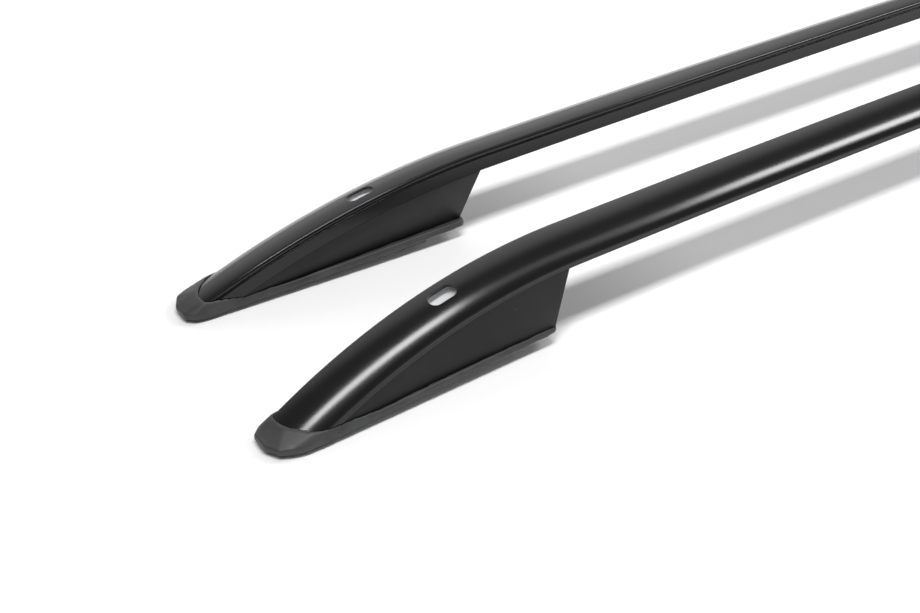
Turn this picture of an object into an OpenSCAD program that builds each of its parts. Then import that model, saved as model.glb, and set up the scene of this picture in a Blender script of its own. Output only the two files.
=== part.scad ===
// Pair of roof side rails, shown standing side by side on a flat surface.
// X runs along the rails (the front end is at -X), Y runs across, Z is up.
// The origin is on that surface, midway between the two rails.
// Every piece is first drawn for the front end of the right rail, then mirrored to the other ends.

/* [Pair] */
// Overall length of one rail, from one rubber nose to the other
rail_l = 1900; // [1600:10:2200]
// Gap between the flat inner walls of the two bars, halfway along
pair_gap = 115; // [90:1:300]
// How far the right rail stands ahead of the left one along X
stagger = 21; // [0:1:60]

/* [Bar section] */
// Width of the bar section
bar_w = 40; // [37:0.5:44]
// Height of the bar section
bar_h = 17.4; // [16:0.2:20]
// Wall of the hollow bar
bar_wall = 2.4; // [1.8:0.1:2.8]
// Radius of the broad domed top
dome_r = 46; // [42:1:52]
// Distance of the crest of the dome from the inner wall
dome_v = 8.5; // [7:0.5:10]
// Radius that rolls the dome down to the outer edge
edge_r = 10; // [8:0.5:12]
// Radius of the lip along the top of the inner wall
lip_r = 2.4; // [1.8:0.2:2.8]
// Set-back of the lip from the foot of the inner wall
lip_in = 1; // [0.5:0.1:1.4]
// Radius of the shadow groove below the lip
groove_r = 1.1; // [0.8:0.1:1.3]

/* [Bar bends] */
// Radius of the long gentle crown
crown_r = 26000; // [20000:1000:40000]
// Radius of the bend over each foot
bend_r = 560; // [540:2:590]
// Slope of the bar where it enters the rubber nose
end_slope = 29.9; // [28.5:0.1:31]
// Sideways lean of the plane in which the bar is bent
lean = 13.2; // [11:0.2:15]

/* [Load bar slot] */
// Length of the oblong slot in the top wall
slot_l = 24.5; // [18:0.5:30]
// Width of the slot
slot_w = 12.6; // [9:0.2:15]
// Centre of the slot across the section, from the inner wall
slot_v = 16; // [14:0.5:19]
// Distance of the slot's centre from the end reference of the bar
slot_x = 152; // [130:1:180]

/* [Foot] */
// Distance from the end reference of the bar, along the seat, to the top of the foot's rear edge
foot_l = 255; // [248:1:260]
// Lean of the rear edge from upright
foot_rake = 16.5; // [12:0.5:22]
// Slant of the rear edge in plan, the inner side further back
foot_skew = 5; // [0:0.5:8]
// Wall of the moulded foot
foot_wall = 3; // [2.4:0.2:3.6]
// How far the foot's outer face stands in from the edge of the bar
foot_inset = 0.2; // [0:0.1:1]
// Radius of the hollow sweep of the foot's outer face, seen from above
foot_sweep_r = 2600; // [2200:50:3200]
// Flare of the outer face from the bar down to the roof
foot_flare = 3; // [1:0.5:4]
// Joint line between bar and foot
joint_gap = 0.4; // [0.2:0.1:0.8]

/* [Rubber boot] */
// Thickness of the rubber pad that bears on the roof
pad_t = 3.6; // [3:0.2:5]
// Height of the flange above the underside of the pad
flange_h = 9.6; // [8.6:0.2:10.6]
// Height of the collar round the end of the bar
collar_h = 16.4; // [16:0.1:18]
// Height of the cut under the end of the bar, where it rests on the rubber
bar_seat = 8; // [6.5:0.5:8.5]
// Distance from the end reference of the bar to the front of the nose
nose_l = 13.5; // [11:0.5:16]
// Length of the flange behind the foot
flange_tail = 1.6; // [1:0.2:4]
// Set-back of the pad from the end of the flange
pad_back = 35; // [20:1:45]
// Set-back of the pad from the edge of the flange
pad_inset = 2.6; // [1:0.2:2.8]
// Chamfer along the top edge of the flange
flange_edge = 1.2; // [0.6:0.2:1.8]
// Clearance of the bar end and the foot in the rubber
boot_gap = 0.25; // [0.1:0.05:0.5]
// Tilt of the seat, so that the rail follows a curved roof
seat_tilt = 2.1; // [1:0.1:3]

/* [Mounting plate] */
// Thickness of the steel plate inside the foot
plate_t = 4; // [3:0.5:5]
// Length of the plate
plate_l = 142; // [130:1:150]
// Width of the plate
plate_w = 19; // [17:0.5:19.5]
// Distance from the end reference to the front end of the plate
plate_x = 84; // [80:1:90]
// Distance between the two roof bolts
bolt_pitch = 56; // [46:1:64]
// Radius of the bolt holes in the plate
bolt_hole_r = 4.5; // [4:0.1:5]
// Radius of the clearance holes in the rubber
rubber_hole_r = 6; // [5.5:0.1:7]
// Width across flats of the weld nuts
nut_af = 13; // [12:0.5:14]
// Height of the weld nuts
nut_h = 7; // [6:0.5:8]
// Core radius of the thread in the weld nuts
nut_r = 3.4; // [3.2:0.1:3.6]

/* [Screws] */
// Shank radius of the screws that hold the foot to the bar
bar_screw_r = 2.5; // [2:0.1:3]
// Distance of the front one from the end reference
bar_screw_x = 110; // [104:1:118]
// Distance between the two
bar_screw_pitch = 90; // [80:1:96]
// Depth of the screw boss below the bar
boss_d = 9; // [8:0.5:10]
// Shank radius of the countersunk screws that hold the plate in the foot
plate_screw_r = 2; // [1.6:0.1:2.4]
// Distance of those screws from the plate's ends
plate_screw_x = 8; // [7:0.5:10]

/* [Hidden] */
$fn = 64;
// Overlap of solids that are drawn as one piece, and running clearance round a screw
eps = 0.01;
clear = 0.15;
// Reach of the cutters past the piece they cut
reach = 200;

// Section: centres of the dome, of the outer edge and of the lip, each arc tangent to the next
dome_w = bar_h - dome_r;
edge_c = [bar_w - edge_r, dome_w + sqrt(pow(dome_r - edge_r, 2) - pow(bar_w - edge_r - dome_v, 2))];
lip_c = [lip_in + lip_r, dome_w + sqrt(pow(dome_r - lip_r, 2) - pow(lip_in + lip_r - dome_v, 2))];
groove_c = [lip_in + 0.5, lip_c[1] - lip_r - 0.3];
cavity_in = lip_in + groove_r + bar_wall;

// Path: slope where the crown meets the bend, and how far the bar drops from its middle to its end
half_l = rail_l / 2 - nose_l;
join_slope = asin((half_l - bend_r * sin(end_slope)) / (crown_r - bend_r));
drop = crown_r * (1 - cos(join_slope)) + bend_r * (cos(join_slope) - cos(end_slope));
// Slope to which the crown is drawn, just past the middle where it is cut, and the bend's past the nose
crown_over = ceil(100 * join_slope + 0.5) / 100;
run_on = 4;

// Seat: the end reference of the bar lies below the underside of the rubber pad
end_sink = 6;
seat_z = (nose_l - pad_inset) * tan(seat_tilt);
mid_h = seat_z - end_sink + drop * cos(lean);

// Foot: its toe inside the boot, and where its outer face meets the bar's edge at toe and heel
toe_x = 26;
foot_top = lift(foot_l) - foot_l * tan(seat_tilt);
toe_p = [toe_x, bar_w + aside(toe_x) - foot_inset];
heel_p = [foot_l, bar_w + aside(foot_l) - foot_inset];
// Centre of the circle of that face on the level of the pad's underside
toe_base = toe_p + [0, (lift(toe_x) - toe_x * tan(seat_tilt)) * tan(foot_flare)];
heel_base = heel_p + [0, foot_top * tan(foot_flare)];
chord = heel_base - toe_base;
sweep_c = (toe_base + heel_base) / 2
    + [-chord[1], chord[0]] * sqrt(pow(foot_sweep_r / norm(chord), 2) - 0.25);
boss_r = 7;
post_r = 5;

// Rubber boot: the length of its flange, and where the collar has run down to the flange
flange_l = foot_l - (foot_top - flange_h) * tan(foot_rake) + flange_tail;
ramp_l = 88;
// Rounded corners of its outline: centre along the bar, inner side, outer side, radius
nose_rows = [
    [3 - nose_l, 2.5, bar_w - 18, 3],
    [-5, -2.6, bar_w - 8, 3],
    [3, -4.2, bar_w - 4.2, 3],
    [14, -4.6, bar_w - 1.6, 3],
    [29, -5, bar_w - 1.9, 3]
];
waist_row = [145, -10, bar_w - 7.4, 3];
ramp_row = [ramp_l - 3, -7.4, bar_w - 4.8, 3];
tail_rows = [
    [flange_l - 6, -11, heel_p[1] + 4.8, 6],
    [flange_l - 3, -12.5, 12, 6]
];
// Rounded corners of the collar's top: centre along and across the bar, height below the highest
collar_posts = [
    [6.5, 2, 0],
    [6.5, bar_w - 22.5, 0.2],
    [12, bar_w - 15.5, 1.4],
    [22, bar_w - 8.5, 1.8],
    [33, bar_w - 6.4, 2.2],
    [14, -1, 3],
    [26, -1.2, 3.8]
];
post_round = 3;

// Mounting plate: its middle, and the line of its bolts across the foot
bolt_mid = plate_x + plate_l / 2;
plate_y = 10;

// Screw heads: radius, height, and the hexagon socket
head_r = 5;
head_h = 3.5;
socket_r = 2.4;
socket_d = 2;
screw_reach = 3;
plate_screw_l = 14;

// Number of facets for a full circle that gives n facets over an arc of the given angle
function arc_fn(angle, n) = round(360 / angle * n);

// Slope of the bar at a distance from its end reference
function slope_at(distance) = asin(sin(end_slope) - distance / bend_r);

// Height of the bar's inner bottom edge above the seat, and its place across the seat
function lift(distance) = bend_r * (cos(slope_at(distance)) - cos(end_slope)) * cos(lean) - end_sink;
function aside(distance) = -bend_r * (cos(slope_at(distance)) - cos(end_slope)) * sin(lean);

// Stands the right rail, or its mirror image, in its place
module rail(side) {
    translate([side * stagger / 2, side * pair_gap / 2, 0])
        mirror([0, side < 0 ? 1 : 0, 0])
            children();
}

// Front end as drawn, or the rear end as its mirror image
module end(which) {
    mirror([which == "rear" ? 1 : 0, 0, 0])
        children();
}

// The leaning plane in which the bar is bent
module lean_plane() {
    translate([0, 0, mid_h])
        rotate([lean, 0, 0])
            children();
}

// Where the crown meets the bend: X along the bar, Z away from the centre of the bend
module bar_join() {
    lean_plane()
        translate([-crown_r * sin(join_slope), 0, crown_r * (cos(join_slope) - 1)])
            rotate([0, -join_slope, 0])
                children();
}

// The seat of the front end: origin under the end reference, Z square to the pad
module seat() {
    translate([-half_l, drop * sin(lean), seat_z])
        rotate([0, -seat_tilt, 0])
            children();
}

// A place on the underside of the bend: X along the bar, Y outward, Z square to that underside
module on_bend(distance, across) {
    slope = slope_at(distance) - join_slope;
    bar_join()
        translate([-bend_r * sin(slope), 0, bend_r * (cos(slope) - 1)])
            rotate([0, -slope, 0])
                rotate([-lean, 0, 0])
                    translate([0, across, 0])
                        children();
}

// Sweeps a section about a centre straight below the join, from one slope to another
module sweep(radius, from, to, rings) {
    translate([0, 0, -radius])
        rotate([90, 0, 0])
            rotate_extrude(angle = to - from, start = 90 + from, $fn = arc_fn(to - from, rings))
                translate([radius, 0])
                    rotate(-90 - lean)
                        children();
}

// Bar

// Domed outline of the section, drawn in by the given amount and starting at the given inner face
module dome_outline(inset, inner) {
    far = dome_r * 1.12;
    edge_dir = (edge_c - [dome_v, dome_w]) / (dome_r - edge_r);
    lip_dir = (lip_c - [dome_v, dome_w]) / (dome_r - lip_r);
    foot_v = dome_v + edge_dir[0] / edge_dir[1] * (inset - dome_w);
    intersection() {
        translate([dome_v, dome_w])
            circle(dome_r - inset, $fn = 180);
        polygon([
            [inner, inset],
            [foot_v, inset],
            [dome_v, dome_w] + far * edge_dir,
            [dome_v, dome_w] + far * lip_dir,
            lip_c,
            [inner + lip_in, lip_c[1]]
        ]);
    }
    intersection() {
        translate(edge_c)
            circle(edge_r - inset, $fn = 64);
        translate([edge_c[0] - edge_r / 2, inset])
            square([2 * edge_r, 2 * edge_r]);
    }
    if (edge_c[1] > inset)
        translate([edge_c[0] - 1, inset])
            square([edge_r + 1 - inset, edge_c[1] - inset]);
}

// Outer outline of the bar, with the lip and the groove of the inner wall
module bar_outline() {
    difference() {
        union() {
            dome_outline(0, 0);
            translate(lip_c)
                circle(lip_r, $fn = 32);
        }
        translate(groove_c)
            circle(groove_r, $fn = 24);
    }
}

// Hollow section of the bar
module bar_section() {
    difference() {
        bar_outline();
        dome_outline(bar_wall, cavity_in);
    }
}

// Front half of the bar: the crown from the middle on, and the bend over the foot down to the nose
module bar_half() {
    difference() {
        bar_join() {
            sweep(crown_r, -crown_over, 0, 16) bar_section();
            sweep(bend_r, 0, end_slope + run_on - join_slope, 32) bar_section();
        }
        translate([0, -rail_l, -rail_l])
            cube(2 * rail_l);
        bar_end_cut();
        slot_cut();
        bar_screw_holes();
    }
}

// Material taken off an end so that it stands square on the rubber pad
module bar_end_cut() {
    seat() {
        translate([-reach / 2, -reach / 2, -reach])
            cube([reach, reach, reach + bar_seat + clear]);
        translate([-reach, -reach / 2, -reach / 2])
            cube(reach);
    }
}

// Oblong cutter that goes through the top wall only
module slot_cut() {
    on_bend(slot_x, slot_v)
        translate([0, 0, bar_h / 2])
            linear_extrude(bar_h)
                slot_shape();
}

// Oblong outline of the slot
module slot_shape() {
    straight = slot_l - slot_w;
    for (s = [-1, 1])
        translate([s * straight / 2, 0])
            circle(slot_w / 2);
    square([straight, slot_w], center = true);
}

// Places of the screws that hold the foot
module bar_screw_places() {
    for (x = [bar_screw_x, bar_screw_x + bar_screw_pitch])
        on_bend(x, bar_w / 2)
            children();
}

// Holes in the bottom wall for those screws
module bar_screw_holes() {
    bar_screw_places()
        translate([0, 0, -bar_wall])
            cylinder(r = bar_screw_r + clear, h = 3 * bar_wall);
}

module bar() {
    color([0.09, 0.09, 0.095]) {
        bar_half();
        mirror([1, 0, 0])
            bar_half();
    }
}

// Foot

// Space below the bend, kept the given distance away from the bar
module under_bar(distance) {
    bar_join()
        sweep(bend_r, -3, end_slope + run_on, 40)
            translate([-bar_w, -distance - reach / 2])
                square([3 * bar_w, reach / 2]);
}

// Wedge of the foot, drawn in by the given amount and starting at the given height above the seat
module foot_form(inset, low) {
    intersection() {
        under_bar(joint_gap + inset);
        lean_plane()
            translate([-rail_l, inset, -rail_l])
                cube(2 * rail_l);
        seat()
            difference() {
                translate([toe_x + inset, -reach / 2, low])
                    cube([foot_l, reach, reach]);
                foot_sweep(inset);
            }
        seat()
            translate([foot_l, heel_p[1], foot_top])
                rotate([0, foot_rake, foot_skew])
                    translate([-2 * reach - inset, -reach, -reach])
                        cube(2 * reach);
    }
}

// Cutter for the hollow and flared outer face of the foot
module foot_sweep(inset) {
    base_r = foot_sweep_r + inset;
    translate([sweep_c[0], sweep_c[1], 0])
        cylinder(r1 = base_r, r2 = base_r + reach * tan(foot_flare), h = reach, $fn = 720);
}

// Places of the plate screws, on the underside of the plate
module plate_screw_places() {
    for (x = [plate_x + plate_screw_x, plate_x + plate_l - plate_screw_x])
        seat()
            translate([x, plate_y, pad_t])
                children();
}

// Places of the roof bolts, on the underside of the pad
module bolt_places() {
    for (s = [-1, 1])
        seat()
            translate([bolt_mid + s * bolt_pitch / 2, plate_y, 0])
                children();
}

// Moulded wedge that fills the space between the bar and its seat, hollow from below
module foot() {
    color([0.12, 0.12, 0.125])
        difference() {
            union() {
                difference() {
                    foot_form(0, pad_t);
                    foot_form(foot_wall, pad_t - 1);
                }
                foot_bosses();
            }
            bar_screw_places()
                translate([0, 0, -2 * boss_d])
                    cylinder(r = bar_screw_r + clear, h = 2 * boss_d);
            plate_screw_places()
                cylinder(r = plate_screw_r + clear, h = plate_screw_l + 1);
        }
}

// Bosses inside the foot for its four screws
module foot_bosses() {
    intersection() {
        foot_form(foot_wall / 2, pad_t + plate_t);
        union() {
            bar_screw_places()
                translate([0, 0, -joint_gap - boss_d])
                    cylinder(r = boss_r, h = boss_d);
            plate_screw_places()
                translate([0, 0, plate_t])
                    cylinder(r = post_r, h = reach);
        }
    }
}

// Rubber boot

// Rounded corners of an outline, drawn in by the given amount
module boot_corners(rows, inset) {
    for (row = rows, v = [row[1] + row[3], row[2] - row[3]])
        translate([row[0], v])
            circle(row[3] - inset, $fn = 24);
}

// Pad under the foot, flange round it, and the collar that closes the end of the bar
module boot_body() {
    flange_rows = concat(nose_rows, [waist_row], tail_rows);
    rim_h = flange_h - pad_t;
    pad_rows = concat(nose_rows, [for (row = tail_rows) row - [pad_back, 0, 0, 0]]);
    hull()
        linear_extrude(pad_t + eps)
            boot_corners(pad_rows, pad_inset);
    translate([0, 0, pad_t])
        hull() {
            linear_extrude(rim_h - flange_edge)
                boot_corners(flange_rows, 0);
            linear_extrude(rim_h)
                boot_corners(flange_rows, flange_edge);
        }
    translate([0, 0, pad_t])
        hull() {
            linear_extrude(rim_h - flange_edge)
                boot_corners(concat(nose_rows, [ramp_row]), 0);
            for (post = collar_posts)
                translate([post[0], post[1], 0])
                    cylinder(r = post_round, h = collar_h - pad_t - post[2], $fn = 24);
        }
}

module boot() {
    color([0.2, 0.2, 0.205])
        difference() {
            seat()
                boot_body();
            bar_pocket();
            foot_form(-boot_gap, pad_t);
            bolt_places()
                translate([0, 0, -1])
                    cylinder(r = rubber_hole_r, h = pad_t + 2);
        }
}

// Pocket for the end of the bar
module bar_pocket() {
    intersection() {
        bar_join()
            sweep(bend_r, 5, end_slope + run_on, 32)
                pocket_outline();
        seat()
            translate([-boot_gap, -reach / 2, bar_seat])
                cube(reach);
    }
}

// Outline of the bar with the clearance of the rubber added
module pocket_outline() {
    dome_outline(-boot_gap, -boot_gap);
    translate(lip_c)
        circle(lip_r + boot_gap, $fn = 32);
}

// Mounting plate and fasteners

// Steel plate that bears on the rubber pad inside the foot
module plate() {
    color([0.62, 0.64, 0.66])
        difference() {
            seat()
                translate([plate_x, plate_y - plate_w / 2, pad_t])
                    cube([plate_l, plate_w, plate_t]);
            bolt_places()
                cylinder(r = bolt_hole_r, h = pad_t + plate_t + 1);
            plate_screw_places() {
                cylinder(r = plate_screw_r + clear, h = plate_t + 1);
                translate([0, 0, -clear])
                    cylinder(r1 = 2 * plate_screw_r + clear, r2 = clear, h = 2 * plate_screw_r);
            }
        }
}

// Two nuts welded to the top of the plate
module weld_nuts() {
    color([0.7, 0.71, 0.73])
        bolt_places()
            translate([0, 0, pad_t + plate_t])
                difference() {
                    cylinder(r = nut_af / sqrt(3), h = nut_h, $fn = 6);
                    translate([0, 0, -1])
                        cylinder(r = nut_r, h = nut_h + 2);
                }
}

// Two screws that hold the foot up against the bar
module bar_screws() {
    color([0.7, 0.71, 0.73])
        bar_screw_places()
            translate([0, 0, -joint_gap - boss_d]) {
                translate([0, 0, -head_h])
                    difference() {
                        cylinder(r = head_r, h = head_h);
                        translate([0, 0, -1])
                            cylinder(r = socket_r, h = socket_d + 1, $fn = 6);
                    }
                cylinder(r = bar_screw_r, h = joint_gap + boss_d + bar_wall + screw_reach);
            }
}

// Two countersunk screws that hold the plate up in the foot
module plate_screws() {
    color([0.7, 0.71, 0.73])
        plate_screw_places() {
            cylinder(r1 = 2 * plate_screw_r, r2 = 0, h = 2 * plate_screw_r);
            cylinder(r = plate_screw_r, h = plate_screw_l);
        }
}

// Stands one end of one rail in its place
module placed(side, which) {
    rail(side)
        end(which)
            children();
}

rail(-1) bar();  // left_bar
placed(-1, "front") foot();  // left_front_foot
placed(-1, "front") boot();  // left_front_boot
placed(-1, "front") plate();  // left_front_plate
placed(-1, "front") weld_nuts();  // left_front_weld_nuts
placed(-1, "front") bar_screws();  // left_front_bar_screws
placed(-1, "front") plate_screws();  // left_front_plate_screws
placed(-1, "rear") foot();  // left_rear_foot
placed(-1, "rear") boot();  // left_rear_boot
placed(-1, "rear") plate();  // left_rear_plate
placed(-1, "rear") weld_nuts();  // left_rear_weld_nuts
placed(-1, "rear") bar_screws();  // left_rear_bar_screws
placed(-1, "rear") plate_screws();  // left_rear_plate_screws
rail(1) bar();  // right_bar
placed(1, "front") foot();  // right_front_foot
placed(1, "front") boot();  // right_front_boot
placed(1, "front") plate();  // right_front_plate
placed(1, "front") weld_nuts();  // right_front_weld_nuts
placed(1, "front") bar_screws();  // right_front_bar_screws
placed(1, "front") plate_screws();  // right_front_plate_screws
placed(1, "rear") foot();  // right_rear_foot
placed(1, "rear") boot();  // right_rear_boot
placed(1, "rear") plate();  // right_rear_plate
placed(1, "rear") weld_nuts();  // right_rear_weld_nuts
placed(1, "rear") bar_screws();  // right_rear_bar_screws
placed(1, "rear") plate_screws();  // right_rear_plate_screws
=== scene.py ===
"""Studio scene of a pair of black roof side rails that stand side by side on a white floor.

Lengths are in metres and angles in degrees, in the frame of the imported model: X runs along the
rails with their front ends at -X, Y runs across and Z is up.
"""

import logging
import math
from dataclasses import dataclass, field
from enum import Enum

import bmesh
import bpy
from mathutils import Matrix, Vector


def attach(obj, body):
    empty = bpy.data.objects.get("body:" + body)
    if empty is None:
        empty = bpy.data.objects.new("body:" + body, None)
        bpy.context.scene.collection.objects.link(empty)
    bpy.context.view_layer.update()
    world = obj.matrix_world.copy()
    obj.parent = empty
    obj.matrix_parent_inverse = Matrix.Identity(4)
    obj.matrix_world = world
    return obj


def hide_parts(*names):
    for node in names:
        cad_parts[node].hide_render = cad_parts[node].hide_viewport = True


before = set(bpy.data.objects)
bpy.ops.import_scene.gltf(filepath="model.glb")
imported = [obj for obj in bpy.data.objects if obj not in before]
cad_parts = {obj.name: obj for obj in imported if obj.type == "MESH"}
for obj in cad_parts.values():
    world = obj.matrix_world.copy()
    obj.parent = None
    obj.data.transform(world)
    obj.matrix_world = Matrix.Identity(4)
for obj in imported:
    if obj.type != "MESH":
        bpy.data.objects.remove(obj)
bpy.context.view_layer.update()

log = logging.getLogger("rails")

MM = 0.001
BODY = "root"

# Distances below which points are one: of a join, and of a point met again
JOIN = 0.01 * MM
SAME = 1e-9


class Side(Enum):
    """The two rails of the pair, by the sign of Y."""

    LEFT = -1
    RIGHT = 1


class End(Enum):
    """The two ends of a rail."""

    FRONT = "front"
    REAR = "rear"


# Geometry of the pair


@dataclass(frozen=True)
class Layout:
    """Where the two rails stand, and the path that their bars follow."""

    rail_l: float = 1900 * MM
    pair_gap: float = 115 * MM
    stagger: float = 21 * MM
    crown_r: float = 26000 * MM
    bend_r: float = 560 * MM
    end_slope: float = 29.9
    run_on: float = 4.0
    lean: float = 13.2
    nose_l: float = 13.5 * MM
    pad_inset: float = 2.6 * MM
    end_sink: float = 6 * MM
    seat_tilt: float = 2.1

    @property
    def half_l(self) -> float:
        """Distance from the middle of a bar to its end reference."""
        return self.rail_l / 2 - self.nose_l

    @property
    def join_slope(self) -> float:
        """Slope, in radians, where the crown meets the bend."""
        run = self.half_l - self.bend_r * math.sin(math.radians(self.end_slope))
        return math.asin(run / (self.crown_r - self.bend_r))

    @property
    def bend_angle(self) -> float:
        """Angle in radians that the bend turns, past its end reference."""
        return math.radians(self.end_slope + self.run_on) - self.join_slope

    @property
    def drop(self) -> float:
        """How far the bar drops from its middle to its end, in the plane of its bend."""
        slope, last = self.join_slope, math.radians(self.end_slope)
        return self.crown_r * (1 - math.cos(slope)) + self.bend_r * (math.cos(slope) - math.cos(last))

    @property
    def seat_z(self) -> float:
        """Height of the seat's origin above the floor."""
        return (self.nose_l - self.pad_inset) * math.tan(math.radians(self.seat_tilt))

    def lean_plane(self) -> Matrix:
        """Frame of the leaning plane in which a bar is bent.

        Returns:
            A frame with its origin on the underside, halfway along the bar.
        """
        lean = math.radians(self.lean)
        height = self.seat_z - self.end_sink + self.drop * math.cos(lean)
        return Matrix.Translation((0, 0, height)) @ Matrix.Rotation(lean, 4, "X")

    def join(self) -> Matrix:
        """Frame where the crown meets the bend.

        Returns:
            A frame with X along the bar.
        """
        slope = self.join_slope
        place = (-self.crown_r * math.sin(slope), 0, self.crown_r * (math.cos(slope) - 1))
        return self.lean_plane() @ Matrix.Translation(place) @ Matrix.Rotation(-slope, 4, "Y")

    def seat(self) -> Matrix:
        """Frame of the front seat: origin under the end reference, Z square to the pad."""
        place = (-self.half_l, self.drop * math.sin(math.radians(self.lean)), self.seat_z)
        return Matrix.Translation(place) @ Matrix.Rotation(-math.radians(self.seat_tilt), 4, "Y")

    def on_bend(self, distance: float, across: float) -> Matrix:
        """Frame on the underside of the bend.

        Args:
            distance: distance from the end reference along the rail.
            across: distance outward from the inner wall.

        Returns:
            A frame with X along the bar, Y outward and Z square to the underside.
        """
        sine = math.sin(math.radians(self.end_slope)) - distance / self.bend_r
        slope = math.asin(sine) - self.join_slope
        place = (-self.bend_r * math.sin(slope), 0, self.bend_r * (math.cos(slope) - 1))
        turn = Matrix.Rotation(-slope, 4, "Y") @ Matrix.Rotation(-math.radians(self.lean), 4, "X")
        return self.join() @ Matrix.Translation(place) @ turn @ Matrix.Translation((0, across, 0))

    def placed(self, side: Side, end: End = End.FRONT) -> Matrix:
        """Frame that stands the drawn front end of the right rail in its place.

        Args:
            side: the rail of the pair.
            end: the end of that rail.

        Returns:
            The move, with a mirror for the left rail and one for a rear end.
        """
        move = Matrix.Translation((side.value * self.stagger / 2, side.value * self.pair_gap / 2, 0))
        flip_y = Matrix.Diagonal((1, side.value, 1, 1))
        flip_x = Matrix.Diagonal((-1 if end is End.REAR else 1, 1, 1, 1))
        return move @ flip_y @ flip_x


LAYOUT = Layout()


# Mesh helpers


def to_object(bm: bmesh.types.BMesh, name: str) -> bpy.types.Object:
    """Makes an object of a finished mesh.

    Args:
        bm: the mesh, which is freed.
        name: the piece's name.

    Returns:
        The object, at the origin, with smooth faces.
    """
    mesh = bpy.data.meshes.new(name)
    bm.to_mesh(mesh)
    bm.free()
    mesh.shade_smooth()
    piece = bpy.data.objects.new(name, mesh)
    bpy.context.scene.collection.objects.link(piece)
    return piece


def apply_modifiers(piece: bpy.types.Object) -> None:
    """Bakes a piece's modifiers into its mesh.

    Args:
        piece: the object, whose mesh is replaced.
    """
    graph = bpy.context.evaluated_depsgraph_get()
    mesh = bpy.data.meshes.new_from_object(piece.evaluated_get(graph))
    piece.modifiers.clear()
    piece.data = mesh


def sharpen(piece: bpy.types.Object, angle: float) -> None:
    """Keeps edges steeper than an angle crisp and smooths the rest.

    Args:
        piece: the object to shade.
        angle: the limit in degrees.
    """
    piece.data.shade_smooth()
    piece.data.set_sharp_from_angle(angle=math.radians(angle))


def moved_copy(piece: bpy.types.Object, name: str, move: Matrix) -> bpy.types.Object:
    """Copies a piece to another place, turning its faces out again after a mirror.

    Args:
        piece: the object to copy.
        name: the copy's name.
        move: the move, which may hold a mirror.

    Returns:
        The new object.
    """
    mesh = piece.data.copy()
    mesh.transform(move)
    if move.determinant() < 0:
        mesh.flip_normals()
    copy = bpy.data.objects.new(name, mesh)
    bpy.context.scene.collection.objects.link(copy)
    return copy


def arc(
    bm: bmesh.types.BMesh, start: bmesh.types.BMVert, centre: Vector, angle: float, steps: int
) -> bmesh.types.BMVert:
    """Draws an arc of a section in the YZ plane by spinning its first point.

    Args:
        bm: the mesh.
        start: the arc's first point.
        centre: the arc's centre.
        angle: the angle turned about X, in radians.
        steps: the number of edges.

    Returns:
        The arc's last point.
    """
    spun = bmesh.ops.spin(bm, geom=[start], cent=centre, axis=(1, 0, 0), angle=angle, steps=steps)
    return next(part for part in spun["geom_last"] if isinstance(part, bmesh.types.BMVert))


# Finishes

# Noise of a finish: the span of its two shades, the span over which pale specks set in, and its detail
CLOUD_SPAN = (0.3, 0.7)
CLOUD_DETAIL = 4.0
SPECK_SPAN = (0.74, 0.8)
SPECK_SCALE = 260.0
SPECK_DETAIL = 2.0
PATCH_PER_CLOUD = 3
PATCH_DETAIL = 3.0
GRAIN_DETAIL = 2.0


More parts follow.
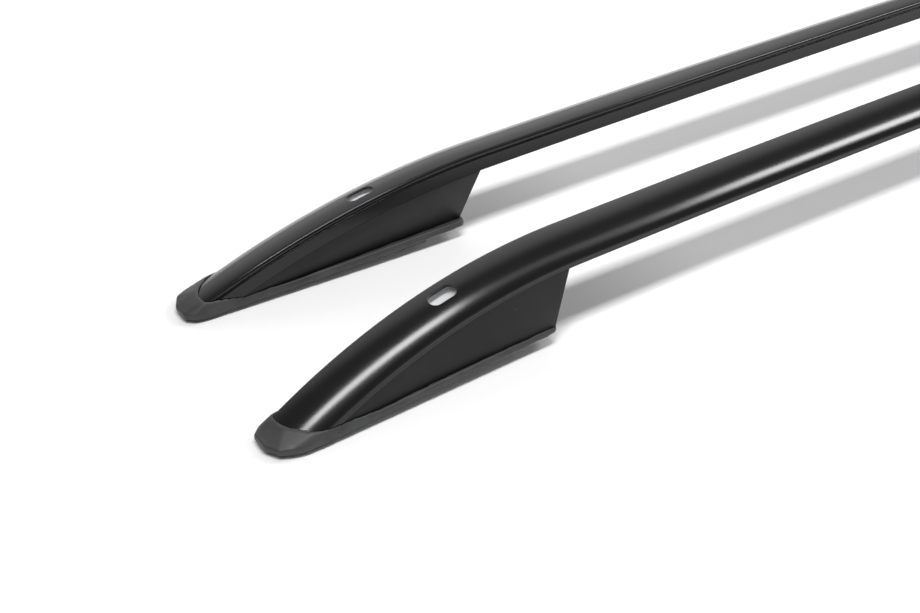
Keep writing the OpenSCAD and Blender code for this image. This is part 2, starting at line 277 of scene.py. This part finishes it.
@dataclass(frozen=True)
class Finish:
    """A surface finish: its colour, its gloss and the fine relief that breaks it up."""

    name: str
    slot: str
    colour: tuple[float, float, float]
    roughness: float
    metallic: float = 0.0
    specular: float = 0.5
    grain: float = 900.0
    grain_depth: float = 0.00004
    cloud: float = 14.0
    cloud_mix: float = 0.15
    roughness_swing: float = 0.06
    stretch: tuple[float, float, float] = (1.0, 1.0, 1.0)
    speck: float = 0.0

    def material(self) -> bpy.types.Material:
        """Builds the node material of this finish, or finds it where it was built before.

        Returns:
            The material.
        """
        found = bpy.data.materials.get(self.name)
        if found:
            return found
        made = bpy.data.materials.new(self.name)
        made.use_nodes = True
        tree = made.node_tree
        shader = tree.nodes["Principled BSDF"]
        shader.inputs["Metallic"].default_value = self.metallic
        shader.inputs["Specular IOR Level"].default_value = self.specular
        coords = tree.nodes.new("ShaderNodeTexCoord")
        spread = tree.nodes.new("ShaderNodeMapping")
        spread.inputs["Scale"].default_value = self.stretch
        tree.links.new(coords.outputs["Object"], spread.inputs["Vector"])
        self._colour(tree, spread, shader)
        self._gloss(tree, spread, shader)
        self._relief(tree, spread, shader)
        return made

    def _noise(
        self, tree: bpy.types.NodeTree, source: bpy.types.Node, scale: float, detail: float
    ) -> bpy.types.Node:
        """Adds a noise texture.

        Args:
            tree: the node tree.
            source: the node that gives the coordinates.
            scale: the noise's scale, per metre.
            detail: the number of finer layers.

        Returns:
            The noise node.
        """
        noise = tree.nodes.new("ShaderNodeTexNoise")
        noise.inputs["Scale"].default_value = scale
        noise.inputs["Detail"].default_value = detail
        tree.links.new(source.outputs["Vector"], noise.inputs["Vector"])
        return noise

    @staticmethod
    def _ramp(
        tree: bpy.types.NodeTree, noise: bpy.types.Node, span: tuple[float, float],
        shades: tuple[tuple[float, ...], tuple[float, ...]],
    ) -> bpy.types.NodeSocket:
        """Turns a noise into a blend of two shades.

        Args:
            tree: the node tree.
            noise: the noise node.
            span: where the blend begins and ends.
            shades: the shade before and after it.

        Returns:
            The socket that holds the colour.
        """
        ramp = tree.nodes.new("ShaderNodeValToRGB")
        for element, position, shade in zip(ramp.color_ramp.elements, span, shades):
            element.position = position
            element.color = (*shade, 1)
        tree.links.new(noise.outputs["Fac"], ramp.inputs["Fac"])
        return ramp.outputs["Color"]

    def _colour(self, tree: bpy.types.NodeTree, source: bpy.types.Node, shader: bpy.types.Node) -> None:
        """Mixes the base colour with a slow cloud of a lighter shade, and a few pale specks.

        Args:
            tree: the node tree.
            source: the node that gives the coordinates.
            shader: the shader to colour.
        """
        cloud = self._noise(tree, source, self.cloud, CLOUD_DETAIL)
        lighter = tuple(min(1.0, part * (1 + 2 * self.cloud_mix)) for part in self.colour)
        darker = tuple(part * (1 - self.cloud_mix) for part in self.colour)
        result = self._ramp(tree, cloud, CLOUD_SPAN, (darker, lighter))
        if self.speck > 0:
            dust = self._noise(tree, source, SPECK_SCALE, SPECK_DETAIL)
            add = tree.nodes.new("ShaderNodeMix")
            add.data_type = "RGBA"
            add.blend_type = "ADD"
            add.inputs["Factor"].default_value = 1.0
            tree.links.new(result, add.inputs["A"])
            specks = self._ramp(tree, dust, SPECK_SPAN, ((0.0,) * 3, (self.speck,) * 3))
            tree.links.new(specks, add.inputs["B"])
            result = add.outputs["Result"]
        tree.links.new(result, shader.inputs["Base Color"])

    def _gloss(self, tree: bpy.types.NodeTree, source: bpy.types.Node, shader: bpy.types.Node) -> None:
        """Lets the roughness swing a little over the surface.

        Args:
            tree: the node tree.
            source: the node that gives the coordinates.
            shader: the shader to steer.
        """
        patch = self._noise(tree, source, self.cloud * PATCH_PER_CLOUD, PATCH_DETAIL)
        swing = tree.nodes.new("ShaderNodeMapRange")
        swing.inputs["To Min"].default_value = self.roughness - self.roughness_swing
        swing.inputs["To Max"].default_value = self.roughness + self.roughness_swing
        tree.links.new(patch.outputs["Fac"], swing.inputs["Value"])
        tree.links.new(swing.outputs["Result"], shader.inputs["Roughness"])

    def _relief(self, tree: bpy.types.NodeTree, source: bpy.types.Node, shader: bpy.types.Node) -> None:
        """Adds the fine grain as bump.

        Args:
            tree: the node tree.
            source: the node that gives the coordinates.
            shader: the shader to roughen.
        """
        grain = self._noise(tree, source, self.grain, GRAIN_DETAIL)
        bump = tree.nodes.new("ShaderNodeBump")
        bump.inputs["Strength"].default_value = 1.0
        bump.inputs["Distance"].default_value = self.grain_depth
        tree.links.new(grain.outputs["Fac"], bump.inputs["Height"])
        tree.links.new(bump.outputs["Normal"], shader.inputs["Normal"])


POWDER_COAT = Finish(
    "satin_powder_coat", "bar", (0.0045, 0.0045, 0.0048), 0.18, specular=0.42, grain=1100.0,
    grain_depth=0.000002, roughness_swing=0.02,
)
BARE_ALUMINIUM = Finish(
    "bare_extruded_aluminium", "bar", (0.86, 0.86, 0.87), 0.5, metallic=0.35, grain=1400.0,
    cloud_mix=0.05, stretch=(0.05, 1.0, 1.0),
)
MOULDED_PLASTIC = Finish(
    "grained_moulded_plastic", "foot", (0.011, 0.011, 0.0114), 0.46, specular=0.22, grain=1500.0,
    grain_depth=0.00006, speck=0.02,
)
BOOT_RUBBER = Finish(
    "matt_boot_rubber", "boot", (0.03, 0.03, 0.031), 0.52, grain=700.0, grain_depth=0.0001, cloud=45.0,
    cloud_mix=0.25, speck=0.05,
)
ZINC_PLATE = Finish("zinc_plated_plate", "plate", (0.62, 0.63, 0.65), 0.35, metallic=1.0, cloud=60.0)
ZINC_SCREW = Finish("zinc_plated_fastener", "fastener", (0.7, 0.71, 0.72), 0.28, metallic=1.0, cloud=120.0)


def dress(piece: bpy.types.Object, *finishes: Finish) -> bpy.types.Object:
    """Gives a piece its finishes, in the order of its material slots.

    Args:
        piece: the object.
        finishes: the finish of each material slot.

    Returns:
        The same object.
    """
    if piece.data.materials:
        piece.data.materials.clear()
    for finish in finishes:
        piece.data.materials.append(finish.material())
    return piece


def settle(piece: bpy.types.Object, node: str) -> None:
    """Puts a new piece in the place of its node.

    Args:
        piece: the new piece.
        node: the node that it stands for.
    """
    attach(piece, BODY)
    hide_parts(node)
    log.info("%s stands for %s, %d faces", piece.name, node, len(piece.data.polygons))


# Bar


@dataclass
class Bar:
    """Bent bar with a domed top, a lip and a groove on its flat inner wall, and two slots.

    Only the stretch of its cavity that is seen through a slot is cut out.
    """

    layout: Layout = LAYOUT
    width: float = 40 * MM
    height: float = 17.4 * MM
    cavity_x: tuple[float, float] = (-20 * MM, 36 * MM)
    cavity: tuple[tuple[float, float], ...] = (
        (4.5, 8), (33, 8), (30, 10), (24, 12.4), (16, 14.2), (4.5, 14.5),
    )
    dome_r: float = 46 * MM
    dome_v: float = 8.5 * MM
    edge_r: float = 10 * MM
    lip_r: float = 2.4 * MM
    lip_in: float = 1 * MM
    groove_r: float = 1.1 * MM
    groove_in: float = 0.5 * MM
    groove_drop: float = 0.3 * MM
    groove_start: tuple[float, float] = (-0.72, -0.69)
    slot_l: float = 24.5 * MM
    slot_w: float = 12.6 * MM
    slot_v: float = 16 * MM
    slot_x: float = 152 * MM
    slot_steps: int = 48
    slot_top: float = 1.2
    slot_depth: float = 0.7
    bar_seat: float = 8 * MM
    clear: float = 0.15 * MM
    reach: float = 120 * MM
    dome_steps: int = 44
    edge_steps: int = 14
    groove_steps: int = 12
    flat_max: float = 8 * MM
    flat_cuts: int = 8
    bend_steps: int = 200
    crown_steps: int = 90
    nose_span: float = 60 * MM
    crisp: float = 32

    @property
    def dome_c(self) -> Vector:
        """Centre of the broad dome, in the section's plane."""
        return Vector((0, self.dome_v, self.height - self.dome_r))

    @property
    def edge_c(self) -> Vector:
        """Centre of the rolled outer edge."""
        across = self.width - self.edge_r
        up = math.sqrt((self.dome_r - self.edge_r) ** 2 - (across - self.dome_v) ** 2)
        return Vector((0, across, self.dome_c.z + up))

    @property
    def lip_c(self) -> Vector:
        """Centre of the lip."""
        across = self.lip_in + self.lip_r
        up = math.sqrt((self.dome_r - self.lip_r) ** 2 - (across - self.dome_v) ** 2)
        return Vector((0, across, self.dome_c.z + up))

    @staticmethod
    def _turn(centre: Vector, start: Vector, stop: Vector) -> float:
        """Measures the turn about X from one point to another.

        Args:
            centre: the point that it is seen from.
            start: the first point.
            stop: the second point.

        Returns:
            The signed angle in radians.
        """
        first = math.atan2(start.z - centre.z, start.y - centre.y)
        last = math.atan2(stop.z - centre.z, stop.y - centre.y)
        turned = last - first
        return (turned + math.pi) % (2 * math.pi) - math.pi

    def _dome(self, bm: bmesh.types.BMesh, start: Vector) -> bmesh.types.BMVert:
        """Draws the dome and the rolled edge.

        Args:
            bm: the mesh.
            start: where the dome begins, above the inner wall.

        Returns:
            The last point, above the outer end of the underside.
        """
        out = (self.edge_c - self.dome_c).normalized()
        crest = self.edge_c + out * self.edge_r
        side = Vector((0, self.width, self.edge_c.z))
        last = bm.verts.new(start)
        last = arc(bm, last, self.dome_c, self._turn(self.dome_c, start, crest), self.dome_steps)
        return arc(bm, last, self.edge_c, self._turn(self.edge_c, crest, side), self.edge_steps)

    def _outer(self, bm: bmesh.types.BMesh) -> None:
        """Draws the outer outline of the section, with the lip and the groove.

        Args:
            bm: the mesh.
        """
        out = (self.lip_c - self.dome_c).normalized()
        top = self.lip_c + out * self.lip_r
        last = self._dome(bm, top)
        first = next(v for v in bm.verts if (v.co - top).length < SAME)
        foot = bm.verts.new((0, self.width, 0))
        bm.edges.new((last, foot))
        heel = bm.verts.new((0, 0, 0))
        bm.edges.new((foot, heel))
        groove_z = self.lip_c.z - self.lip_r - self.groove_drop
        groove_c = Vector((0, self.lip_in + self.groove_in, groove_z))
        low = groove_c + Vector((0, *(part * self.groove_r for part in self.groove_start)))
        wall_top = bm.verts.new((0, self.lip_in * low.z / self.lip_c.z, low.z))
        bm.edges.new((heel, wall_top))
        meet = self._crossing(groove_c, self.groove_r, self.lip_c, self.lip_r)
        sweep = self._turn(groove_c, wall_top.co, meet) % (2 * math.pi)
        spun = arc(bm, wall_top, groove_c, sweep, self.groove_steps)
        under = bm.verts.new(meet)
        bm.edges.new((spun, under))
        rolled = arc(bm, under, self.lip_c, -self._long_turn(self.lip_c, meet, top), self.groove_steps)
        bmesh.ops.pointmerge(bm, verts=[rolled, first], merge_co=top)

    @staticmethod
    def _crossing(first: Vector, first_r: float, second: Vector, second_r: float) -> Vector:
        """Finds where two circles of the section cross, on the side of the inner wall.

        Args:
            first: the centre of the first circle.
            first_r: its radius.
            second: the centre of the second circle.
            second_r: its radius.

        Returns:
            The point on both circles.
        """
        apart = (second - first).length
        ahead = (second - first) / apart
        along = (apart**2 + first_r**2 - second_r**2) / (2 * apart)
        off = math.sqrt(first_r**2 - along**2)
        return first + ahead * along + Vector((0, -ahead.z, ahead.y)) * off

    def _long_turn(self, centre: Vector, start: Vector, stop: Vector) -> float:
        """Angle about X from one point back to another, turning by way of the inner side."""
        return (-self._turn(centre, start, stop)) % (2 * math.pi)

    def _swept_half(self) -> bmesh.types.BMesh:
        """Sweeps the outline from the middle of the bar to its front end.

        Returns:
            A mesh in the frame of the leaning plane.
        """
        bm = bmesh.new()
        self._outer(bm)
        flats = [edge for edge in bm.edges if edge.calc_length() > self.flat_max]
        bmesh.ops.subdivide_edges(bm, edges=flats, cuts=self.flat_cuts)
        bmesh.ops.rotate(bm, verts=bm.verts, matrix=Matrix.Rotation(-math.radians(self.layout.lean), 3, "X"))
        profile = bm.edges[:]
        crown = self.layout.crown_r
        bmesh.ops.spin(
            bm, geom=profile, cent=(0, 0, -crown), axis=(0, 1, 0), angle=self.layout.join_slope,
            steps=self.crown_steps,
        )
        bend = self.layout.bend_r
        bmesh.ops.spin(
            bm, geom=profile, cent=(0, 0, -bend), axis=(0, -1, 0), angle=self.layout.bend_angle,
            steps=self.bend_steps,
        )
        bmesh.ops.transform(bm, matrix=self.layout.lean_plane().inverted() @ self.layout.join(), verts=bm.verts)
        return bm

    def _whole(self) -> bpy.types.Object:
        """Builds the solid inside the outline, from end to end.

        Returns:
            The solid, in the place of the drawn right rail without its shift in the pair.
        """
        bm = self._swept_half()
        low = min(v.co.x for v in bm.verts)
        last = low + self.nose_span
        nose = [e for e in bm.edges if e.is_boundary and all(v.co.x < last for v in e.verts)]
        bmesh.ops.edgeloop_fill(bm, edges=nose)
        bmesh.ops.mirror(bm, geom=bm.verts[:] + bm.edges[:] + bm.faces[:], axis="X", merge_dist=JOIN)
        bmesh.ops.remove_doubles(bm, verts=bm.verts, dist=JOIN / 2)
        bmesh.ops.recalc_face_normals(bm, faces=bm.faces)
        bmesh.ops.transform(bm, matrix=self.layout.lean_plane(), verts=bm.verts)
        return dress(to_object(bm, "bar"), POWDER_COAT, BARE_ALUMINIUM)

    def _cutter(self) -> bpy.types.Object:
        """Builds the solids that are cut off the bar: slots, cavities, and both ends inside the boots.

        Returns:
            The solids as one object, with bare metal on the cavities' faces.
        """
        bm = bmesh.new()
        straight = (self.slot_l - self.slot_w) / 2
        above = Matrix.Translation((0, 0, self.slot_top * self.height))
        place = self.layout.on_bend(self.slot_x, self.slot_v) @ above
        made = bmesh.ops.create_circle(bm, cap_ends=False, segments=self.slot_steps, radius=self.slot_w / 2)
        for vert in made["verts"]:
            vert.co.x += math.copysign(straight, vert.co.x)
        rim = bmesh.ops.edgeloop_fill(bm, edges=bm.edges[:])["faces"]
        pulled = bmesh.ops.extrude_face_region(bm, geom=rim)
        tops = [v for v in pulled["geom"] if isinstance(v, bmesh.types.BMVert)]
        bmesh.ops.translate(bm, verts=tops, vec=(0, 0, -self.slot_depth * self.height))
        bmesh.ops.transform(bm, matrix=place, verts=bm.verts)
        self._cavity(bm)
        seat = self.layout.seat()
        below = Matrix.Translation((0, 0, self.bar_seat + self.clear - self.reach / 2))
        before = Matrix.Translation((-self.reach / 2, 0, 0))
        for block in (below, before):
            bmesh.ops.create_cube(bm, size=self.reach, matrix=seat @ block)
        bmesh.ops.mirror(bm, geom=bm.verts[:] + bm.edges[:] + bm.faces[:], axis="X", merge_dist=-1)
        bmesh.ops.recalc_face_normals(bm, faces=bm.faces)
        return dress(to_object(bm, "cutter"), POWDER_COAT, BARE_ALUMINIUM)

    def _cavity(self, bm: bmesh.types.BMesh) -> None:
        """Adds the stretch of the bar's cavity that is seen through a slot.

        Args:
            bm: the cutter's mesh.
        """
        rows = [Vector((self.cavity_x[0], across * MM, up * MM)) for across, up in self.cavity]
        section = bm.faces.new([bm.verts.new(row) for row in rows])
        pulled = bmesh.ops.extrude_face_region(bm, geom=[section])
        ends = [v for v in pulled["geom"] if isinstance(v, bmesh.types.BMVert)]
        bmesh.ops.translate(bm, verts=ends, vec=(self.cavity_x[1] - self.cavity_x[0], 0, 0))
        made = {*section.verts, *ends}
        bmesh.ops.transform(bm, matrix=self.layout.on_bend(self.slot_x, 0), verts=list(made))
        for face in bm.faces:
            if all(vert in made for vert in face.verts):
                face.material_index = 1

    def build(self) -> bpy.types.Object:
        """Builds the bar.

        Returns:
            The bar, in the place of the drawn right rail without its shift in the pair.
        """
        bar = self._whole()
        cutter = self._cutter()
        cut = bar.modifiers.new("cut", "BOOLEAN")
        cut.operation = "DIFFERENCE"
        cut.solver = "EXACT"
        cut.use_self = True
        cut.object = cutter
        apply_modifiers(bar)
        bpy.data.objects.remove(cutter)
        sharpen(bar, self.crisp)
        return bar

    def place(self) -> None:
        """Builds the bar once and stands it in both rails."""
        drawn = self.build()
        for side in Side:
            node = f"{side.name.lower()}_bar"
            piece = moved_copy(drawn, f"{node}_skin", self.layout.placed(side))
            sharpen(piece, self.crisp)
            settle(piece, node)
        bpy.data.objects.remove(drawn)


# Feet, boots and hidden steel


@dataclass
class EndPiece:
    """A moulded piece at the end of a rail, softened along its edges."""

    kind: str
    finish: Finish
    edge: float
    segments: int = 3
    limit: float = 35.0
    grid: float = 0.0
    rounds: int = 10
    firm: tuple[float, float] = (1.0 * MM, 3.0 * MM)
    flat: float = 0.4
    crisp: float = 40
    layout: Layout = LAYOUT

    def place(self) -> None:
        """Softens the piece at each end of both rails."""
        for side in Side:
            for end in End:
                node = f"{side.name.lower()}_{end.value}_{self.kind}"
                piece = self._softened(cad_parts[node], f"{node}_skin")
                if self.grid > 0:
                    self._mould(piece, side, end)
                sharpen(piece, self.crisp)
                settle(dress(piece, self.finish), node)

    def _softened(self, source: bpy.types.Object, name: str) -> bpy.types.Object:
        """Copies a node's mesh with its doubles merged and its edges rounded.

        Args:
            source: the node's object.
            name: the new piece's name.

        Returns:
            The new piece.
        """
        bm = bmesh.new()
        bm.from_mesh(source.data)
        bmesh.ops.remove_doubles(bm, verts=bm.verts, dist=JOIN)
        bmesh.ops.dissolve_limit(bm, angle_limit=math.radians(self.flat), verts=bm.verts, edges=bm.edges)
        piece = to_object(bm, name)
        soft = piece.modifiers.new("soft_edges", "BEVEL")
        soft.width = self.edge
        soft.segments = self.segments
        soft.limit_method = "ANGLE"
        soft.angle_limit = math.radians(self.limit)
        soft.use_clamp_overlap = True
        soft.harden_normals = False
        apply_modifiers(piece)
        return piece

    def _mould(self, piece: bpy.types.Object, side: Side, end: End) -> None:
        """Gives a soft piece one flowing skin, as rubber takes in its mould, with a firm lower edge.

        Args:
            piece: the piece, whose mesh is replaced.
            side: its rail.
            end: its end of the rail.
        """
        grid = piece.modifiers.new("grid", "REMESH")
        grid.mode = "VOXEL"
        grid.voxel_size = self.grid
        apply_modifiers(piece)
        to_seat = (self.layout.placed(side, end) @ self.layout.seat()).inverted()
        group = piece.vertex_groups.new(name="above_seat")
        for vert in piece.data.vertices:
            above = ((to_seat @ vert.co).z - self.firm[0]) / self.firm[1]
            group.add([vert.index], min(1.0, max(0.0, above)), "REPLACE")
        flow = piece.modifiers.new("flow", "SMOOTH")
        flow.factor = 0.5
        flow.iterations = self.rounds
        flow.vertex_group = group.name
        apply_modifiers(piece)
        piece.vertex_groups.clear()


def dress_steel() -> None:
    """Gives the hidden plates and fasteners their finish, in their own nodes."""
    for name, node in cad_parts.items():
        if name.endswith("_plate"):
            dress(node, ZINC_PLATE)
        elif name.endswith(("_nuts", "_screws")):
            dress(node, ZINC_SCREW)
        else:
            continue
        log.info("%s keeps its node", name)


# Studio


@dataclass(frozen=True)
class Lamp:
    """A softbox that faces a point of the scene."""

    name: str
    place: tuple[float, float, float]
    target: tuple[float, float, float]
    size: tuple[float, float]
    power: float

    def build(self) -> None:
        """Hangs the softbox."""
        data = bpy.data.lights.new(self.name, "AREA")
        data.shape = "RECTANGLE"
        data.size, data.size_y = self.size
        data.energy = self.power
        lamp = bpy.data.objects.new(self.name, data)
        lamp.location = self.place
        aim = Vector(self.target) - Vector(self.place)
        lamp.rotation_euler = aim.to_track_quat("-Z", "Y").to_euler()
        bpy.context.scene.collection.objects.link(lamp)


@dataclass
class Studio:
    """White floor, soft lamps and the camera."""

    lamps: tuple[Lamp, ...] = field(default_factory=tuple)
    floor_size: float = 12.0
    floor_grey: float = 0.86
    floor_roughness: float = 0.9
    clip_start: float = 0.05
    focal_px: float = 1576.8
    image_w: int = 920
    sensor: float = 36.0
    place: tuple[float, float, float] = (-1.3194, -0.8882, 0.7465)
    heading: float = 56.39
    pitch: float = 35.56
    roll: float = 0.5
    glow_span: tuple[float, float] = (0.22, 0.7)
    glow: tuple[float, float] = (0.0, 0.8)
    feet_span: tuple[float, float] = (0.5, 0.68)
    feet_glow: tuple[float, float] = (0.22, 0.02)
    behind: tuple[float, float, float] = (0.26, 0.79, 0.555)
    behind_span: tuple[float, float] = (0.76, 0.97)
    horizon_span: tuple[float, float] = (0.12, 0.26)
    dim: float = 0.25
    horizon: float = 0.7
    pale: float = 1.25

    def camera(self) -> None:
        """Stands the camera where the photograph was taken from."""
        heading, pitch, roll = (math.radians(a) for a in (self.heading, self.pitch, self.roll))
        level_part = math.cos(pitch)
        ahead = Vector((level_part * math.cos(heading), level_part * math.sin(heading), -math.sin(pitch)))
        level = Vector((math.sin(heading), -math.cos(heading), 0))
        above = level.cross(ahead)
        right = level * math.cos(roll) + above * math.sin(roll)
        up = above * math.cos(roll) - level * math.sin(roll)
        data = bpy.data.cameras.new("camera")
        data.sensor_width = self.sensor
        data.lens = self.sensor * self.focal_px / self.image_w
        data.clip_start = self.clip_start
        camera = bpy.data.objects.new("camera", data)
        turn = Matrix((right, up, -ahead)).transposed().to_4x4()
        camera.matrix_world = Matrix.Translation(self.place) @ turn
        bpy.context.scene.collection.objects.link(camera)
        bpy.context.scene.camera = camera

    def floor(self) -> None:
        """Lays the white floor, which takes the shadow of the rails."""
        bm = bmesh.new()
        bmesh.ops.create_grid(bm, x_segments=1, y_segments=1, size=self.floor_size)
        floor = to_object(bm, "floor")
        made = bpy.data.materials.new("white_floor")
        made.use_nodes = True
        tree = made.node_tree
        shader = tree.nodes["Principled BSDF"]
        shader.inputs["Base Color"].default_value = (*(self.floor_grey,) * 3, 1)
        shader.inputs["Roughness"].default_value = self.floor_roughness
        glow = tree.nodes.new("ShaderNodeEmission")
        tree.links.new(self._seen(tree, self._far_from_rails(tree)), glow.inputs["Strength"])
        both = tree.nodes.new("ShaderNodeAddShader")
        tree.links.new(shader.outputs["BSDF"], both.inputs[0])
        tree.links.new(glow.outputs["Emission"], both.inputs[1])
        tree.links.new(both.outputs["Shader"], tree.nodes["Material Output"].inputs["Surface"])
        floor.data.materials.append(made)

    def _far_from_rails(self, tree: bpy.types.NodeTree) -> bpy.types.NodeSocket:
        """Gives a strength that is low near the rails, where their shadow lies, and higher far away.

        Args:
            tree: the floor's node tree.

        Returns:
            The socket that holds the strength.
        """
        coords = tree.nodes.new("ShaderNodeTexCoord")
        place = tree.nodes.new("ShaderNodeSeparateXYZ")
        tree.links.new(coords.outputs["Object"], place.inputs["Vector"])
        levels = []
        for axis, span, glow in (("X", self.feet_span, self.feet_glow), ("Y", self.glow_span, self.glow)):
            distance = tree.nodes.new("ShaderNodeMath")
            distance.operation = "ABSOLUTE"
            tree.links.new(place.outputs[axis], distance.inputs[0])
            levels.append(self._fade(tree, distance.outputs["Value"], span, glow))
        level = tree.nodes.new("ShaderNodeMath")
        level.operation = "MAXIMUM"
        for socket, part in zip(level.inputs, levels):
            tree.links.new(part, socket)
        return level.outputs["Value"]

    @staticmethod
    def _seen(tree: bpy.types.NodeTree, strength: bpy.types.NodeSocket) -> bpy.types.NodeSocket:
        """Limits a strength to what the camera, mirrors and glass see.

        Args:
            tree: the node tree.
            strength: the socket that holds the strength.

        Returns:
            The socket that holds the limited strength.
        """
        path = tree.nodes.new("ShaderNodeLightPath")
        seen = path.outputs["Is Camera Ray"]
        for ray in ("Is Glossy Ray", "Is Transmission Ray"):
            either = tree.nodes.new("ShaderNodeMath")
            either.operation = "MAXIMUM"
            tree.links.new(seen, either.inputs[0])
            tree.links.new(path.outputs[ray], either.inputs[1])
            seen = either.outputs["Value"]
        limited = tree.nodes.new("ShaderNodeMath")
        limited.operation = "MULTIPLY"
        tree.links.new(seen, limited.inputs[0])
        tree.links.new(strength, limited.inputs[1])
        return limited.outputs["Value"]

    def world(self) -> None:
        """Surrounds the rails with a dim room that is pale behind them and along the horizon."""
        world = bpy.data.worlds.new("studio")
        world.use_nodes = True
        tree = world.node_tree
        room = tree.nodes["Background"]
        coords = tree.nodes.new("ShaderNodeTexCoord")
        behind = tree.nodes.new("ShaderNodeVectorMath")
        behind.operation = "DOT_PRODUCT"
        behind.inputs[1].default_value = self.behind
        tree.links.new(coords.outputs["Generated"], behind.inputs[0])
        height = tree.nodes.new("ShaderNodeSeparateXYZ")
        tree.links.new(coords.outputs["Generated"], height.inputs["Vector"])
        backdrop = self._fade(tree, behind.outputs["Value"], self.behind_span, (self.dim, self.pale))
        horizon = self._fade(tree, height.outputs["Z"], self.horizon_span, (self.horizon, 0.0))
        level = tree.nodes.new("ShaderNodeMath")
        level.operation = "MAXIMUM"
        tree.links.new(backdrop, level.inputs[0])
        tree.links.new(horizon, level.inputs[1])
        tree.links.new(level.outputs["Value"], room.inputs["Strength"])
        room.inputs["Color"].default_value = (1, 1, 1, 1)
        bpy.context.scene.world = world

    @staticmethod
    def _fade(
        tree: bpy.types.NodeTree, value: bpy.types.NodeSocket, span: tuple[float, float],
        levels: tuple[float, float],
    ) -> bpy.types.NodeSocket:
        """Fades smoothly from one level to another.

        Args:
            tree: the node tree.
            value: the socket that steers the fade.
            span: where the fade begins and ends.
            levels: the level before and after it.

        Returns:
            The socket that holds the level.
        """
        fade = tree.nodes.new("ShaderNodeMapRange")
        fade.interpolation_type = "SMOOTHSTEP"
        fade.inputs["From Min"].default_value, fade.inputs["From Max"].default_value = span
        fade.inputs["To Min"].default_value, fade.inputs["To Max"].default_value = levels
        tree.links.new(value, fade.inputs["Value"])
        return fade.outputs["Result"]

    def build(self) -> None:
        """Builds the whole studio."""
        self.camera()
        self.floor()
        self.world()
        for lamp in self.lamps:
            lamp.build()
        bpy.context.scene.view_settings.view_transform = "Standard"


LAMPS = (
    Lamp("front_strip", (-1.12, -0.59, 2.08), (-1.12, -0.59, 0), (1.3, 0.38), 37.0),
    Lamp("rear_strip", (1.7, -0.58, 2.08), (1.7, -0.58, 0), (1.6, 0.4), 44.0),
    Lamp("middle_strip", (0.15, -0.57, 2.08), (0.15, -0.57, 0), (1.2, 0.4), 2.0),
)


def main() -> None:
    """Builds the studio and every piece."""
    logging.basicConfig(level=logging.INFO, format="%(message)s")
    Studio(lamps=LAMPS).build()
    Bar().place()
    EndPiece("foot", MOULDED_PLASTIC, 1.0 * MM, 3).place()
    EndPiece("boot", BOOT_RUBBER, 0.6 * MM, 2, 25.0, grid=0.9 * MM).place()
    dress_steel()


if __name__ == "__main__":
    main()
